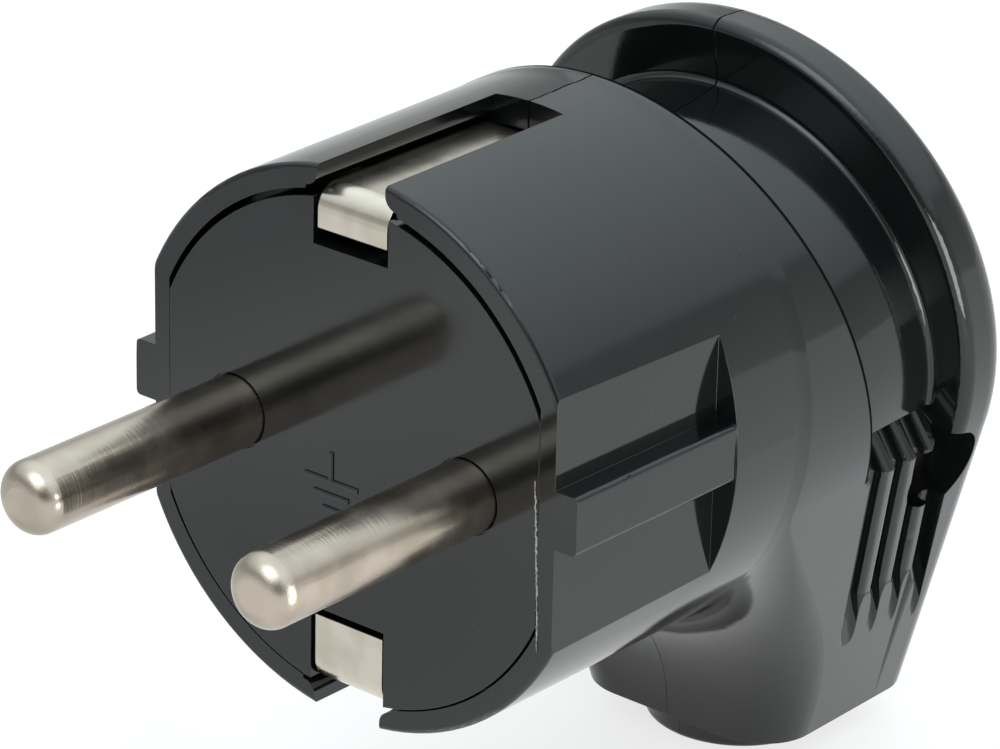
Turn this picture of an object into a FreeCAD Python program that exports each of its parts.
import FreeCAD, Part
import math
import os

os.makedirs("parts", exist_ok=True)

# Angled earthed plug in two half shells. All sizes are in millimetres.
# The origin is the centre of the engagement face, midway between the two pins.
# +X is to the right seen from the front, +Y runs into the plug and +Z is up.

# Pins
PIN_D = 4.8
PIN_LENGTH = 19.0
PIN_SPACING = 19.0
PIN_TIP_ROUND = 1.4
PIN_SHANK_D = 4.0
PIN_COLLAR_D = 6.6
PIN_COLLAR_LENGTH = 3.5
PIN_TAIL_LENGTH = 12.0
PIN_TAIL_THICKNESS = 2.2

# Front body of the two shells
BODY_R = 18.7
FACE_DRAFT = 0.25
DRAFT_LENGTH = 31.5
RIM_WALL = 1.55
FLARE_START_Y = 21.1
FACE_EDGE_ROUND = 0.35
WALL = 2.0
SEAM_GAP = 0.04

# Flats on both sides of the front body, each with a rib along its middle
FLAT_DEPTH = 2.0
FLAT_WALL = 1.25
FLAT_LENGTH = 15.1
FLAT_RISE = 0.3
SIDE_RIB_WIDTH = 3.85
SIDE_RIB_Z = 0.55
SIDE_RIB_DROP = 0.31
SIDE_RIB_ROUND = 0.35

# Slanted rear face of the front body, given where it crosses z = 0
REAR_Y = 28.85
REAR_SLOPE = 0.30
REAR_EDGE_ROUND = 0.3

# Neck and flange, on an axis that rises towards the rear
FLANGE_TILT = 10.2
FLANGE_Y = 38.95
NECK_Z = -1.2
NECK_R = 16.1
NECK_ROOT_ROUND = 0.5
FLANGE_R = 19.2
FLANGE_Z = 0.0
FLANGE_THICKNESS = 4.85
FLANGE_WEDGE = 0.85
FLANGE_FRONT_ROUND = 0.8
FLANGE_BACK_ROUND = 2.4
BACK_WALL = 2.5

# Outlet block below the flange, with flat sides that run down from the body
SIDE_TAPER = 19.5
BLOCK_BOTTOM_Z = -30.7
BLOCK_FRONT_Y = 33.2
CORNER_TOP_ROUND = 1.0
CORNER_BOTTOM_ROUND = 4.0
BLOCK_FLOOR = 2.4
SHOULDER_Z = -7.1
SHOULDER_ANGLE = 56.6
SHOULDER_ROUND = 0.6
SHOULDER_REACH = 5.5

# Cable entry
CABLE_Y = 41.1
CABLE_HOLE_R = 4.3
COLLAR_R = 6.4
COLLAR_HEIGHT = 2.3
COLLAR_ROUND = 0.4

# Finger grip: grooves that run over the shoulder and down the block's sides
GRIP_Y = 28.9
GRIP_SLOPE = 0.33
GRIP_FIRST_WIDTH = 1.7
GRIP_GROOVE_WIDTH = 1.05
GRIP_CREST_WIDTH = 1.35
GRIP_CREST_COUNT = 3
GRIP_DEPTH = 1.2
GRIP_CREST_DROP = 0.05
GRIP_ROUND = 0.5
GRIP_TOP_REACH = 2.4
GRIP_WALL_LENGTH = 11.4
GRIP_FADE_LENGTH = 5.5
GRIP_FADE_RISE = 1.5

# Earth contact slots
SLOT_HALF_WIDTH = 2.75
SLOT_LIP_ROUND = 0.95
SLOT_LIP_DROP = 0.15
SLOT_LENGTH = 16.7
NOTCH_HALF_WIDTH = 3.05
TOP_NOTCH_Z = 13.05
BOTTOM_NOTCH_Z = -11.4

# Pin carrier, a moulded insert that sits low in the shells
CARRIER_SAG = 0.2
CARRIER_DEPTH = 12.0
CARRIER_LAND = 5.0
CARRIER_WAIST_LENGTH = 3.0
CARRIER_WAIST_DEPTH = 1.6
POCKET_GAP = 0.3
PIN_RECESS_GAP = 0.1
PIN_RECESS_DEPTH = 0.2
FIT_GAP = 0.05
BORE_GAP = 0.05
RETAINER_INSET = 2.0
RETAINER_THICKNESS = 3.95

# Earth strap, one formed strip with a contact at the top and at the bottom
STRAP_WIDTH = 5.6
STRAP_THICKNESS = 1.0
STRAP_BELOW_RIM = 0.1
STRAP_BEND_R = 1.6
STRAP_FRONT_Y = 0.15
STRAP_TOP_LIP_Z = 14.1
STRAP_BOTTOM_LIP_Z = -12.0

# Small screws, nuts and clamping plates
TERMINAL_THREAD_D = 3.3
TERMINAL_HEAD_D = 5.4
TERMINAL_HEAD_HEIGHT = 2.1
TERMINAL_SCREW_LENGTH = 5.0
TERMINAL_SCREW_SETBACK = 4.0
THREAD_GAP = 0.05
DRIVE_WIDTH = 0.9
DRIVE_DEPTH = 1.0
HEAD_ROUND = 0.5
CLAMP_PLATE_THICKNESS = 0.9
CLAMP_PLATE_LENGTH = 6.6
CLAMP_PLATE_LIP = 0.8
EARTH_PLATE_SIZE = 7.0
EARTH_PLATE_THICKNESS = 1.0
EARTH_NUT_SIZE = 6.0
EARTH_NUT_THICKNESS = 2.5
EARTH_SCREW_OVERRUN = 0.6

# Housing screw in its deep round recess, with a nut in a hexagon pocket
HOUSING_SCREW_Y = 40.1
HOUSING_SCREW_Z = -9.4
HOUSING_RECESS_R = 3.0
HOUSING_RECESS_FLOOR_X = 9.5
HOUSING_THREAD_D = 3.0
HOUSING_HEAD_D = 5.6
HOUSING_HEAD_HEIGHT = 2.4
HOUSING_NUT_FLATS = 5.5
HOUSING_NUT_THICKNESS = 2.4
HOUSING_NUT_X = 10.5
HOLE_GAP = 0.2
BOSS_WALL = 1.3

# Locating peg at the top of the flange
PEG_R = 0.9
PEG_LENGTH = 2.5
PEG_BELOW_RIM = 2.4
PEG_GAP = 0.05

# Cord clamp on the back wall, its two saddles in line with the cable entry
CLAMP_Z = -21.5
CLAMP_HALF_LENGTH = 8.4
CLAMP_HEIGHT = 6.0
CLAMP_BAR_THICKNESS = 2.4
CLAMP_SADDLE_R = 3.0
CLAMP_ARCH_WALL = 1.2
CLAMP_SCREW_X = 6.0
CLAMP_SCREW_GRIP = 3.2
CLAMP_THREAD_D = 2.8
CLAMP_HEAD_D = 4.8
CLAMP_HEAD_HEIGHT = 1.8

# Values that follow from the sizes above
PIN_X = PIN_SPACING / 2
PIN_R = PIN_D / 2
TAPER = math.radians(SIDE_TAPER)
TILT = math.radians(FLANGE_TILT)
TILT_SLOPE = math.tan(TILT)
BACK_SLOPE = math.tan(TILT + math.radians(FLANGE_WEDGE))
FLANGE_FRONT_Y = FLANGE_Y + NECK_Z * TILT_SLOPE
FLANGE_BACK_Y = FLANGE_FRONT_Y + FLANGE_THICKNESS / math.cos(TILT)
CAVITY_BACK_Y = FLANGE_BACK_Y - BACK_WALL / math.cos(TILT)
FLARE_R = BLOCK_FRONT_Y - FLARE_START_Y
FACE_R = BODY_R - FACE_DRAFT
FLAT_X = FACE_R - FLAT_DEPTH
SIDE_RIB_X = FACE_R - SIDE_RIB_DROP
DRAFT_SLOPE = FACE_DRAFT / DRAFT_LENGTH
FLARE_CORNER_R = FACE_R + DRAFT_SLOPE * BLOCK_FRONT_Y
POCKET_R = FACE_R - RIM_WALL
CARRIER_R = POCKET_R - POCKET_GAP
CARRIER_HALF_WIDTH = FLAT_X - FLAT_WALL - FIT_GAP
RETAINER_R = CARRIER_R - RETAINER_INSET
STRAP_REACH_Z = POCKET_R - STRAP_BELOW_RIM
RETAINER_BACK_Y = CARRIER_DEPTH + RETAINER_THICKNESS
STRAP_INNER_Y = RETAINER_BACK_Y + FIT_GAP
STRAP_BACK_Y = STRAP_INNER_Y + STRAP_THICKNESS
COLLAR_START_Y = CARRIER_DEPTH - PIN_COLLAR_LENGTH
PIN_END_Y = CARRIER_DEPTH + PIN_TAIL_LENGTH
TERMINAL_Y = PIN_END_Y - TERMINAL_SCREW_SETBACK
TAIL_FACE_X = PIN_X + PIN_TAIL_THICKNESS / 2
FAR = 80.0


def vector(x, y, z):
    return FreeCAD.Vector(x, y, z)


X_WAY = vector(1, 0, 0)
Y_WAY = vector(0, 1, 0)
Z_WAY = vector(0, 0, 1)


def in_front_view(u, v):
    return vector(u, 0, v)


def in_side_view(u, v):
    return vector(0, u, v)


def in_top_view(u, v):
    return vector(u, v, 0)


# A closed outline through corners (u, v, radius), each rounded by its radius
def rounded_face(corners, place):
    count = len(corners)
    starts = []
    mids = []
    ends = []
    for i, (u, v, radius) in enumerate(corners):
        here = place(u, v)
        if radius <= 0:
            starts.append(here)
            mids.append(None)
            ends.append(here)
            continue
        before = place(*corners[i - 1][:2]) - here
        after = place(*corners[(i + 1) % count][:2]) - here
        before.normalize()
        after.normalize()
        half = before.getAngle(after) / 2
        reach = radius / math.tan(half)
        middle = before + after
        middle.normalize()
        starts.append(here + before * reach)
        mids.append(here + middle * (radius / math.sin(half) - radius))
        ends.append(here + after * reach)
    edges = []
    for i in range(count):
        if mids[i] is not None:
            edges.append(Part.Arc(starts[i], mids[i], ends[i]).toShape())
        following = starts[(i + 1) % count]
        if ends[i].distanceToPoint(following) > 1e-6:
            edges.append(Part.LineSegment(ends[i], following).toShape())
    return Part.Face(Part.Wire(edges))


def moved(shape, x, y, z):
    placed = shape.copy()
    placed.translate(vector(x, y, z))
    return placed


def mirrored(shape):
    return shape.mirror(vector(0, 0, 0), X_WAY)


# A solid block between two corners
def block(x0, x1, y0, y1, z0, z1):
    return Part.makeBox(x1 - x0, y1 - y0, z1 - z0, vector(x0, y0, z0))


def rod(radius, start, way, length):
    return Part.makeCylinder(radius, length, start, way)


# A solid turned about the Y axis from (radius, y, corner radius) points
def turned(profile):
    return rounded_face(profile, in_top_view).revolve(vector(0, 0, 0), Y_WAY, 360)


# Everything behind a slanted plane that crosses z = 0 at y
def behind(y, slope):
    top = (y - slope * FAR, FAR, 0)
    bottom = (y + slope * FAR, -FAR, 0)
    side = rounded_face([bottom, (2 * FAR, -FAR, 0), (2 * FAR, FAR, 0), top], in_side_view)
    return moved(side.extrude(X_WAY * (2 * FAR)), -FAR, 0, 0)


# Turns a shape made about the Y axis onto the axis of the neck and flange
def tilted(shape, y, z):
    placed = shape.copy()
    placed.rotate(vector(0, 0, 0), X_WAY, FLANGE_TILT)
    placed.translate(vector(0, y, z))
    return placed


def edges_where(shape, test):
    return [edge for edge in shape.Edges if test(edge.BoundBox, edge.CenterOfMass)]


def export(shape, node):
    shape.exportStep("parts/" + node + ".step")
    print(node, "solids", len(shape.Solids), "volume", round(shape.Volume, 2), "valid", shape.isValid())


# How far out the block's flat side lies at a height, for a given inset
def side_x(z, inset):
    return (BODY_R - inset + z * math.sin(TAPER)) / math.cos(TAPER)


# Front view of the body: a circle with tangent sides down to the block's bottom
def teardrop(radius, centre_z, lower_corners):
    right = lower_corners[0]
    reach = math.hypot(right[0], right[1] - centre_z)
    turn = math.atan2(right[1] - centre_z, right[0]) + math.acos(radius / reach)
    touch = vector(radius * math.cos(turn), 0, centre_z + radius * math.sin(turn))
    opposite = vector(-touch.x, 0, touch.z)
    top = vector(0, 0, centre_z + radius)
    points = [touch] + [vector(x, 0, z) for x, z in lower_corners]
    points += [vector(-x, 0, z) for x, z in reversed(lower_corners)] + [opposite]
    edges = [Part.Arc(opposite, top, touch).toShape()]
    for start, end in zip(points, points[1:]):
        edges.append(Part.LineSegment(start, end).toShape())
    return Part.Face(Part.Wire(edges))


# The body without its waist: a flaring turned form inside the teardrop
def body_form(inset, floor):
    bell = turned([
        (0, 0, 0),
        (FACE_R - inset, 0, 0 if inset else FACE_EDGE_ROUND),
        (FLARE_CORNER_R - inset, BLOCK_FRONT_Y + inset, FLARE_R + inset),
        (2 * FAR, BLOCK_FRONT_Y + inset, 0),
        (2 * FAR, FAR, 0),
        (0, FAR, 0),
    ])
    bottom = BLOCK_BOTTOM_Z + floor
    outline = teardrop(BODY_R - inset, 0, [(side_x(bottom, inset), bottom)])
    return bell.common(outline.extrude(Y_WAY * FAR))


def neck_form(inset):
    radius = NECK_R - inset
    root = radius + NECK_ROOT_ROUND
    profile = [(0, -FAR, 0), (radius, -FAR, 0), (radius, 0, 0 if inset else NECK_ROOT_ROUND)]
    profile += [(root, 0, 0), (root, 1, 0), (0, 1, 0)] if not inset else [(radius, FAR, 0), (0, FAR, 0)]
    return tilted(turned(profile), FLANGE_Y, NECK_Z)


# What is cut away round the neck, behind the slanted rear face and above the shoulders
def waist_form(inset):
    angle = math.radians(SHOULDER_ANGLE)
    corner_x = side_x(SHOULDER_Z, 0) - inset / math.sin(angle)
    run = math.tan(angle)
    inner_x = corner_x - SHOULDER_REACH / run
    inner_z = SHOULDER_Z + SHOULDER_REACH
    outer_x = corner_x + SHOULDER_REACH / run
    outer_z = SHOULDER_Z - SHOULDER_REACH
    outline = [(inner_x, inner_z, 0), (outer_x, outer_z, 0), (FAR, outer_z, 0), (FAR, FAR, 0)]
    outline += [(-FAR, FAR, 0), (-FAR, outer_z, 0), (-outer_x, outer_z, 0), (-inner_x, inner_z, 0)]
    above = rounded_face(outline, in_front_view).extrude(Y_WAY * FAR)
    rear = behind(REAR_Y - inset * math.hypot(1, REAR_SLOPE), REAR_SLOPE)
    return above.common(rear).cut(neck_form(inset))


def flange_form():
    corner = (side_x(BLOCK_BOTTOM_Z, 0), BLOCK_BOTTOM_Z)
    plate = teardrop(FLANGE_R, FLANGE_Z, [corner]).extrude(Y_WAY * FAR)
    plate = plate.common(behind(FLANGE_FRONT_Y, TILT_SLOPE)).cut(behind(FLANGE_BACK_Y, BACK_SLOPE))
    front = edges_where(plate, lambda box, mid: on_plane(mid, FLANGE_FRONT_Y, TILT_SLOPE))
    plate = plate.makeFillet(FLANGE_FRONT_ROUND, front)
    back = edges_where(plate, lambda box, mid: on_plane(mid, FLANGE_BACK_Y, BACK_SLOPE))
    return plate.makeFillet(FLANGE_BACK_ROUND, back)


def on_plane(point, y, slope):
    return abs(point.y + point.z * slope - y) < 0.01


# The collar below the block, round the cable hole
def collar_form():
    top = COLLAR_HEIGHT + 1
    collar = turned([(0, 0, 0), (COLLAR_R, 0, COLLAR_ROUND), (COLLAR_R, top, 0), (0, top, 0)])
    collar.rotate(vector(0, 0, 0), X_WAY, 90)
    return moved(collar, 0, CABLE_Y, BLOCK_BOTTOM_Z - COLLAR_HEIGHT)


# The right half of the body, its front corner rounded more and more towards the bottom
def right_body():
    half = body_form(0, 0).common(block(0, FAR, -FAR, FAR, -FAR, FAR))
    corner = edges_where(half, lambda box, mid: min(box.XLength, box.YLength, box.ZLength) > 1)
    return half.makeFillet(CORNER_BOTTOM_ROUND, CORNER_TOP_ROUND, corner)


# The closed outside of both shells together
def outer_form():
    half = right_body()
    body = half.fuse(mirrored(half)).removeSplitter()
    body = body.cut(waist_form(0))
    body = body.cut(behind(FLANGE_FRONT_Y + FLANGE_THICKNESS / 2, TILT_SLOPE))
    rear = edges_where(body, lambda box, mid: on_plane(mid, REAR_Y, REAR_SLOPE))
    body = body.makeFillet(REAR_EDGE_ROUND, [max(rear, key=lambda edge: edge.Length)])
    bends = edges_where(body, lambda box, mid: abs(mid.z - SHOULDER_Z) < 0.01 and box.ZMax - box.ZMin < 0.01
                        and box.YMax - box.YMin > GRIP_FIRST_WIDTH)
    body = body.makeFillet(SHOULDER_ROUND, bends)
    return body.fuse([flange_form(), collar_form()]).removeSplitter()


# The pocket that holds the pin carrier, with the rib that enters the carrier's waist
def carrier_pocket():
    depth = CARRIER_DEPTH + FIT_GAP
    pocket = rod(POCKET_R, Y_WAY * -1, Y_WAY, depth + 1)
    rib_start = CARRIER_LAND + FIT_GAP
    rib_length = CARRIER_WAIST_LENGTH - 2 * FIT_GAP
    rib = rod(POCKET_R + 1, Y_WAY * rib_start, Y_WAY, rib_length)
    rib = rib.cut(rod(POCKET_R - CARRIER_WAIST_DEPTH, Y_WAY * rib_start, Y_WAY, rib_length))
    half = CARRIER_HALF_WIDTH + FIT_GAP
    return pocket.cut(rib).common(block(-half, half, -1, depth, -FAR, FAR))


def cavity_form():
    inner = body_form(WALL, BLOCK_FLOOR).cut(waist_form(WALL))
    inner = inner.cut(behind(CAVITY_BACK_Y, TILT_SLOPE))
    half = CARRIER_HALF_WIDTH + FIT_GAP
    flats_end = FLAT_LENGTH + WALL
    room = block(-half, half, CARRIER_DEPTH, flats_end, -FAR, FAR)
    room = room.fuse(block(-FAR, FAR, flats_end, FAR, -FAR, FAR))
    return inner.common(room).fuse(carrier_pocket())


# One earth contact slot through the top of the shells, with rounded lips inside
def slot_cutter():
    lip_z = POCKET_R - SLOT_LIP_DROP
    lip_x = SLOT_HALF_WIDTH + SLOT_LIP_ROUND
    outline = [(-lip_x, TOP_NOTCH_Z, 0), (lip_x, TOP_NOTCH_Z, 0), (lip_x, lip_z, 0)]
    outline += [(SLOT_HALF_WIDTH, lip_z, SLOT_LIP_ROUND), (SLOT_HALF_WIDTH, FAR, 0)]
    outline += [(-SLOT_HALF_WIDTH, FAR, 0), (-SLOT_HALF_WIDTH, lip_z, SLOT_LIP_ROUND), (-lip_x, lip_z, 0)]
    cutter = rounded_face(outline, in_front_view).extrude(Y_WAY * (SLOT_LENGTH + 1))
    return moved(cutter, 0, -1, 0)


# A front view outline run from before the face to a depth, rising as the flats do
def along_flat(outline, depth):
    way = vector(FLAT_RISE / FLAT_LENGTH, 1, 0)
    start = moved(rounded_face(outline, in_front_view), -way.x, -way.y, 0)
    return start.extrude(way * (depth + 1))


# The flat on the right side, less the rib that stands in it
def flat_cutter():
    flat = along_flat([(FLAT_X, -FACE_R, 0), (FAR, -FACE_R, 0), (FAR, FACE_R, 0), (FLAT_X, FACE_R, 0)],
                      FLAT_LENGTH)
    low = SIDE_RIB_Z - SIDE_RIB_WIDTH / 2
    high = SIDE_RIB_Z + SIDE_RIB_WIDTH / 2
    rib = along_flat([(0, low, 0), (SIDE_RIB_X, low, SIDE_RIB_ROUND), (SIDE_RIB_X, high, SIDE_RIB_ROUND),
                      (0, high, 0)], FLAT_LENGTH + 1)
    return flat.cut(rib)


# The comb of grip grooves for the right side, in three straight stretches
def grip_cutter():
    level = side_x(SHOULDER_Z, 0) - GRIP_CREST_DROP
    deep = side_x(SHOULDER_Z, 0) - GRIP_DEPTH
    y = GRIP_Y - GRIP_SLOPE * SHOULDER_Z
    outline = [(FAR, y, 0), (deep, y, GRIP_ROUND)]
    y += GRIP_FIRST_WIDTH
    for _ in range(GRIP_CREST_COUNT):
        outline += [(deep, y, GRIP_ROUND), (level, y, GRIP_ROUND)]
        y += GRIP_CREST_WIDTH
        outline += [(level, y, GRIP_ROUND), (deep, y, GRIP_ROUND)]
        y += GRIP_GROOVE_WIDTH
    outline += [(deep, y, GRIP_ROUND), (FAR, y, 0)]
    comb = moved(rounded_face(outline, in_top_view), 0, 0, SHOULDER_Z)
    over = vector(-GRIP_TOP_REACH / math.tan(math.radians(SHOULDER_ANGLE)), 0, GRIP_TOP_REACH)
    down = vector(-math.tan(TAPER), GRIP_SLOPE, -1)
    wall = down * GRIP_WALL_LENGTH
    fade = down * GRIP_FADE_LENGTH + X_WAY * GRIP_FADE_RISE
    lower = moved(comb, wall.x, wall.y, wall.z)
    top = comb.extrude(over).cut(behind(FLANGE_FRONT_Y, TILT_SLOPE))
    return top.fuse([comb.extrude(wall), lower.extrude(fade)])


# A regular hexagon across its flats, standing on the X axis
def hexagon(flats, start_x, length):
    corner = flats / math.sqrt(3)
    points = [(corner * math.cos(k * math.pi / 3), corner * math.sin(k * math.pi / 3), 0) for k in range(6)]
    return moved(rounded_face(points, in_side_view).extrude(X_WAY * length), start_x, 0, 0)


def at_housing_screw(shape):
    return moved(shape, 0, HOUSING_SCREW_Y, HOUSING_SCREW_Z)


# The round tower on one side that the housing screw runs through
def screw_tower(wide_r, wide_x):
    hole_r = HOUSING_THREAD_D / 2 + HOLE_GAP
    tower = rod(hole_r + BOSS_WALL, vector(0, 0, 0), X_WAY, wide_x)
    tower = tower.fuse(rod(wide_r + BOSS_WALL, X_WAY * (wide_x - WALL), X_WAY, FAR))
    return at_housing_screw(tower)


def locating_peg(gap):
    z = FLANGE_Z + FLANGE_R - PEG_BELOW_RIM
    y = (FLANGE_FRONT_Y + FLANGE_BACK_Y) / 2 - z * TILT_SLOPE
    return rod(PEG_R + gap, vector(-PEG_LENGTH - gap, y, z), X_WAY, PEG_LENGTH + 2)


def make_shells():
    outer = outer_form()
    cavity = cavity_form()
    nut_corner = HOUSING_NUT_FLATS / math.sqrt(3)
    towers = [screw_tower(HOUSING_RECESS_R, HOUSING_RECESS_FLOOR_X)]
    towers.append(mirrored(screw_tower(nut_corner, HOUSING_NUT_X)))
    hole = rod(HOUSING_THREAD_D / 2 + HOLE_GAP, X_WAY * -FAR, X_WAY, 2 * FAR)
    recess = rod(HOUSING_RECESS_R, X_WAY * HOUSING_RECESS_FLOOR_X, X_WAY, FAR)
    nut_pocket = mirrored(hexagon(HOUSING_NUT_FLATS + 2 * FIT_GAP, HOUSING_NUT_X, FAR))
    cable_hole = rod(CABLE_HOLE_R, vector(0, CABLE_Y, BLOCK_BOTTOM_Z - FAR), Z_WAY, FAR + BLOCK_FLOOR + 1)
    slot = slot_cutter()
    flat = flat_cutter()
    grip = grip_cutter()
    both = outer.cut(cavity.cut(towers[0].fuse(towers[1])))
    cutters = [at_housing_screw(hole), at_housing_screw(recess), at_housing_screw(nut_pocket), cable_hole]
    cutters += [slot, slot.mirror(vector(0, 0, 0), Z_WAY), flat, mirrored(flat), grip, mirrored(grip)]
    for cutter in cutters:
        both = both.cut(cutter)
    half_gap = SEAM_GAP / 2
    right = both.common(block(half_gap, FAR, -FAR, FAR, -FAR, FAR)).fuse(locating_peg(0))
    left = both.common(block(-FAR, -half_gap, -FAR, FAR, -FAR, FAR)).cut(locating_peg(PEG_GAP))
    export(right.removeSplitter(), "shell_right")
    export(left.removeSplitter(), "shell_left")


# A round plate with flat sides and the two earth notches, low by the carrier's sag
def carrier_plate(radius, half_width, start_y, end_y):
    plate = rod(radius, vector(0, start_y, -CARRIER_SAG), Y_WAY, end_y - start_y)
    plate = plate.common(block(-half_width, half_width, start_y, end_y, -FAR, FAR))
    plate = plate.cut(block(-NOTCH_HALF_WIDTH, NOTCH_HALF_WIDTH, start_y, end_y, TOP_NOTCH_Z, FAR))
    return plate.cut(block(-NOTCH_HALF_WIDTH, NOTCH_HALF_WIDTH, start_y, end_y, -FAR, BOTTOM_NOTCH_Z))


def make_carrier():
    waist_end = CARRIER_LAND + CARRIER_WAIST_LENGTH
    carrier = carrier_plate(CARRIER_R, CARRIER_HALF_WIDTH, 0, CARRIER_LAND)
    carrier = carrier.fuse([
        carrier_plate(CARRIER_R - CARRIER_WAIST_DEPTH, CARRIER_HALF_WIDTH, CARRIER_LAND, waist_end),
        carrier_plate(CARRIER_R, CARRIER_HALF_WIDTH, waist_end, CARRIER_DEPTH),
    ]).removeSplitter()
    for x in (-PIN_X, PIN_X):
        carrier = carrier.cut(rod(PIN_SHANK_D / 2 + BORE_GAP, vector(x, 0, 0), Y_WAY, FAR))
        carrier = carrier.cut(rod(PIN_R + PIN_RECESS_GAP, vector(x, 0, 0), Y_WAY, PIN_RECESS_DEPTH))
        carrier = carrier.cut(rod(PIN_COLLAR_D / 2 + BORE_GAP, vector(x, COLLAR_START_Y, 0), Y_WAY, FAR))
    half = EARTH_NUT_SIZE / 2 + FIT_GAP
    nut_y = CARRIER_DEPTH - EARTH_NUT_THICKNESS
    carrier = carrier.cut(block(-half, half, nut_y, CARRIER_DEPTH, -half, half))
    blind_y = nut_y - EARTH_SCREW_OVERRUN - HOLE_GAP
    carrier = carrier.cut(rod(TERMINAL_THREAD_D / 2 + HOLE_GAP, Y_WAY * blind_y, Y_WAY, FAR))
    export(carrier, "pin_carrier")


# The plate behind the carrier that keeps the pin collars in place
def make_retainer():
    plate = carrier_plate(RETAINER_R, RETAINER_R, CARRIER_DEPTH, RETAINER_BACK_Y)
    half_x = PIN_TAIL_THICKNESS / 2 + BORE_GAP
    half_z = PIN_COLLAR_D / 2 + BORE_GAP
    for x in (-PIN_X, PIN_X):
        plate = plate.cut(block(x - half_x, x + half_x, 0, FAR, -half_z, half_z))
    plate = plate.cut(rod(TERMINAL_THREAD_D / 2 + HOLE_GAP, vector(0, 0, 0), Y_WAY, FAR))
    export(plate, "pin_retainer_plate")


# A turned pin with a collar and a milled flat tail, bored for its terminal screw
def make_pins():
    shank_r = PIN_SHANK_D / 2
    collar_r = PIN_COLLAR_D / 2
    pin = turned([
        (0, -PIN_LENGTH, 0),
        (PIN_R, -PIN_LENGTH, PIN_TIP_ROUND),
        (PIN_R, 0, 0),
        (shank_r, 0, 0),
        (shank_r, COLLAR_START_Y, 0),
        (collar_r, COLLAR_START_Y, 0),
        (collar_r, CARRIER_DEPTH, 0),
        (0, CARRIER_DEPTH, 0),
    ])
    tail = rod(collar_r, Y_WAY * CARRIER_DEPTH, Y_WAY, PIN_TAIL_LENGTH)
    half = PIN_TAIL_THICKNESS / 2
    tail = tail.common(block(-half, half, 0, FAR, -FAR, FAR))
    thread_r = TERMINAL_THREAD_D / 2 + THREAD_GAP
    pin = pin.fuse(tail).cut(rod(thread_r, vector(-FAR, TERMINAL_Y, 0), X_WAY, 2 * FAR))
    pin = moved(pin, PIN_X, 0, 0)
    export(pin, "pin_right")
    export(mirrored(pin), "pin_left")


# A pan head screw whose head seats at x = 0 and whose shank runs towards -X
def screw(thread_d, length, head_d, head_height):
    radius = head_d / 2
    head = turned([(0, 0, 0), (radius, 0, 0), (radius, head_height, HEAD_ROUND), (0, head_height, 0)])
    shank = rod(thread_d / 2, vector(0, 0, 0), Y_WAY * -1, length)
    slot = block(-DRIVE_WIDTH / 2, DRIVE_WIDTH / 2, head_height - DRIVE_DEPTH, FAR, -FAR, FAR)
    body = head.fuse(shank).cut(slot)
    body.rotate(vector(0, 0, 0), Z_WAY, -90)
    return body


# The plate under a terminal screw, with two lips that keep the strands in
def make_terminals():
    plate_face = TAIL_FACE_X + CLAMP_PLATE_THICKNESS
    half_y = CLAMP_PLATE_LENGTH / 2
    inner_z = PIN_COLLAR_D / 2 + THREAD_GAP
    outer_z = inner_z + CLAMP_PLATE_THICKNESS
    plate = block(TAIL_FACE_X, plate_face, TERMINAL_Y - half_y, TERMINAL_Y + half_y, -outer_z, outer_z)
    lip_x = TAIL_FACE_X - CLAMP_PLATE_LIP
    for low_z in (-outer_z, inner_z):
        plate = plate.fuse(block(lip_x, plate_face, TERMINAL_Y - half_y, TERMINAL_Y + half_y,
                                 low_z, low_z + CLAMP_PLATE_THICKNESS))
    hole_r = TERMINAL_THREAD_D / 2 + THREAD_GAP
    plate = plate.removeSplitter().cut(rod(hole_r, vector(0, TERMINAL_Y, 0), X_WAY, FAR))
    fastener = screw(TERMINAL_THREAD_D, TERMINAL_SCREW_LENGTH, TERMINAL_HEAD_D, TERMINAL_HEAD_HEIGHT)
    fastener = moved(fastener, plate_face, TERMINAL_Y, 0)
    export(plate, "wire_clamp_plate_right")
    export(mirrored(plate), "wire_clamp_plate_left")
    export(fastener, "terminal_screw_right")
    export(mirrored(fastener), "terminal_screw_left")


# One strip bent into both contacts and the leg that joins them behind the carrier
def make_earth_strap():
    thick = STRAP_THICKNESS
    inner_r = STRAP_BEND_R - thick
    front = STRAP_FRONT_Y + thick
    reach = STRAP_REACH_Z - thick
    outline = [
        (STRAP_FRONT_Y, STRAP_TOP_LIP_Z, 0),
        (STRAP_FRONT_Y, STRAP_REACH_Z, STRAP_BEND_R),
        (STRAP_BACK_Y, STRAP_REACH_Z, STRAP_BEND_R),
        (STRAP_BACK_Y, -STRAP_REACH_Z, STRAP_BEND_R),
        (STRAP_FRONT_Y, -STRAP_REACH_Z, STRAP_BEND_R),
        (STRAP_FRONT_Y, STRAP_BOTTOM_LIP_Z, 0),
        (front, STRAP_BOTTOM_LIP_Z, 0),
        (front, -reach, inner_r),
        (STRAP_INNER_Y, -reach, inner_r),
        (STRAP_INNER_Y, reach, inner_r),
        (front, reach, inner_r),
        (front, STRAP_TOP_LIP_Z, 0),
    ]
    strap = rounded_face(outline, in_side_view).extrude(X_WAY * STRAP_WIDTH)
    strap = moved(strap, -STRAP_WIDTH / 2, 0, 0)
    hole_r = TERMINAL_THREAD_D / 2 + HOLE_GAP
    export(strap.cut(rod(hole_r, vector(0, 0, 0), Y_WAY, FAR)), "earth_strap")


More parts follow.
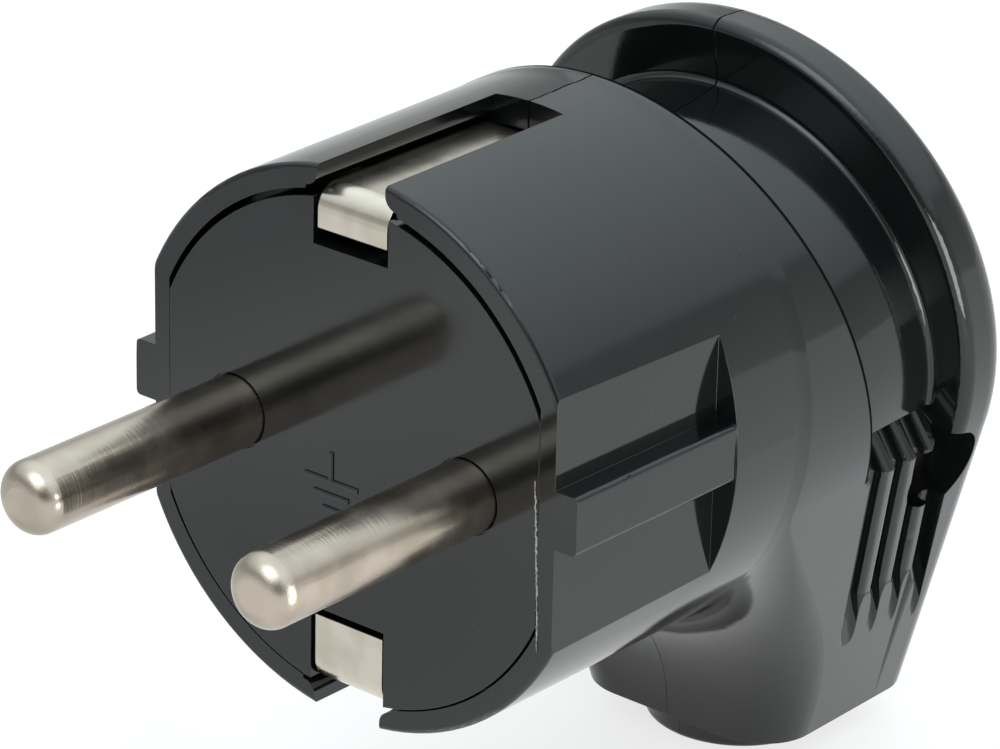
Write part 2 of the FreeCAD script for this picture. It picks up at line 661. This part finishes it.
def make_earth_terminal():
    half = EARTH_PLATE_SIZE / 2
    seat_y = STRAP_BACK_Y + EARTH_PLATE_THICKNESS
    nut_y = CARRIER_DEPTH - EARTH_NUT_THICKNESS
    through = rod(TERMINAL_THREAD_D / 2 + THREAD_GAP, vector(0, 0, 0), Y_WAY, FAR)
    plate = block(-half, half, STRAP_BACK_Y, seat_y, -half, half)
    export(plate.cut(through), "earth_clamp_plate")
    half = EARTH_NUT_SIZE / 2
    nut = block(-half, half, nut_y, CARRIER_DEPTH, -half, half)
    export(nut.cut(through), "earth_terminal_nut")
    length = seat_y - nut_y + EARTH_SCREW_OVERRUN
    fastener = screw(TERMINAL_THREAD_D, length, TERMINAL_HEAD_D, TERMINAL_HEAD_HEIGHT)
    fastener.rotate(vector(0, 0, 0), Z_WAY, 90)
    export(moved(fastener, 0, seat_y, 0), "earth_terminal_screw")


def make_housing_fastener():
    length = HOUSING_RECESS_FLOOR_X + HOUSING_NUT_X + HOUSING_NUT_THICKNESS
    fastener = screw(HOUSING_THREAD_D, length, HOUSING_HEAD_D, HOUSING_HEAD_HEIGHT)
    fastener = moved(fastener, HOUSING_RECESS_FLOOR_X, 0, 0)
    export(at_housing_screw(fastener), "housing_screw")
    nut = hexagon(HOUSING_NUT_FLATS, HOUSING_NUT_X, HOUSING_NUT_THICKNESS)
    nut = nut.cut(rod(HOUSING_THREAD_D / 2 + THREAD_GAP, vector(0, 0, 0), X_WAY, FAR))
    export(at_housing_screw(mirrored(nut)), "housing_nut")


# Base and bar with a saddle each, and two screws; the bar is closed as no cord is fitted
def make_cord_clamp():
    half = CLAMP_HALF_LENGTH
    bottom = CLAMP_Z - CLAMP_HEIGHT / 2
    top = CLAMP_Z + CLAMP_HEIGHT / 2
    bar_front = CABLE_Y - CLAMP_BAR_THICKNESS
    foot = vector(0, CABLE_Y, bottom)
    base = block(-half, half, CABLE_Y, FAR, bottom, top).cut(behind(CAVITY_BACK_Y - FIT_GAP, TILT_SLOPE))
    base = base.cut(rod(CLAMP_SADDLE_R, foot, Z_WAY, CLAMP_HEIGHT))
    arch = rod(CLAMP_SADDLE_R + CLAMP_ARCH_WALL, foot, Z_WAY, CLAMP_HEIGHT)
    arch = arch.common(block(-half, half, -FAR, CABLE_Y, bottom, top))
    bar = block(-half, half, bar_front, CABLE_Y, bottom, top).fuse(arch)
    bar = bar.cut(rod(CLAMP_SADDLE_R, foot, Z_WAY, CLAMP_HEIGHT)).removeSplitter()
    length = CLAMP_BAR_THICKNESS + CLAMP_SCREW_GRIP
    fastener = screw(CLAMP_THREAD_D, length, CLAMP_HEAD_D, CLAMP_HEAD_HEIGHT)
    fastener.rotate(vector(0, 0, 0), Z_WAY, -90)
    for x, side in ((-CLAMP_SCREW_X, "left"), (CLAMP_SCREW_X, "right")):
        start = vector(x, 0, CLAMP_Z)
        depth = bar_front + length + HOLE_GAP
        base = base.cut(rod(CLAMP_THREAD_D / 2 + THREAD_GAP, start, Y_WAY, depth))
        bar = bar.cut(rod(CLAMP_THREAD_D / 2 + HOLE_GAP, start, Y_WAY, depth))
        export(moved(fastener, x, bar_front, CLAMP_Z), "cord_clamp_screw_" + side)
    export(base, "cord_clamp_base")
    export(bar, "cord_clamp_bar")


make_shells()
make_carrier()
make_retainer()
make_pins()
make_terminals()
make_earth_strap()
make_earth_terminal()
make_housing_fastener()
make_cord_clamp()
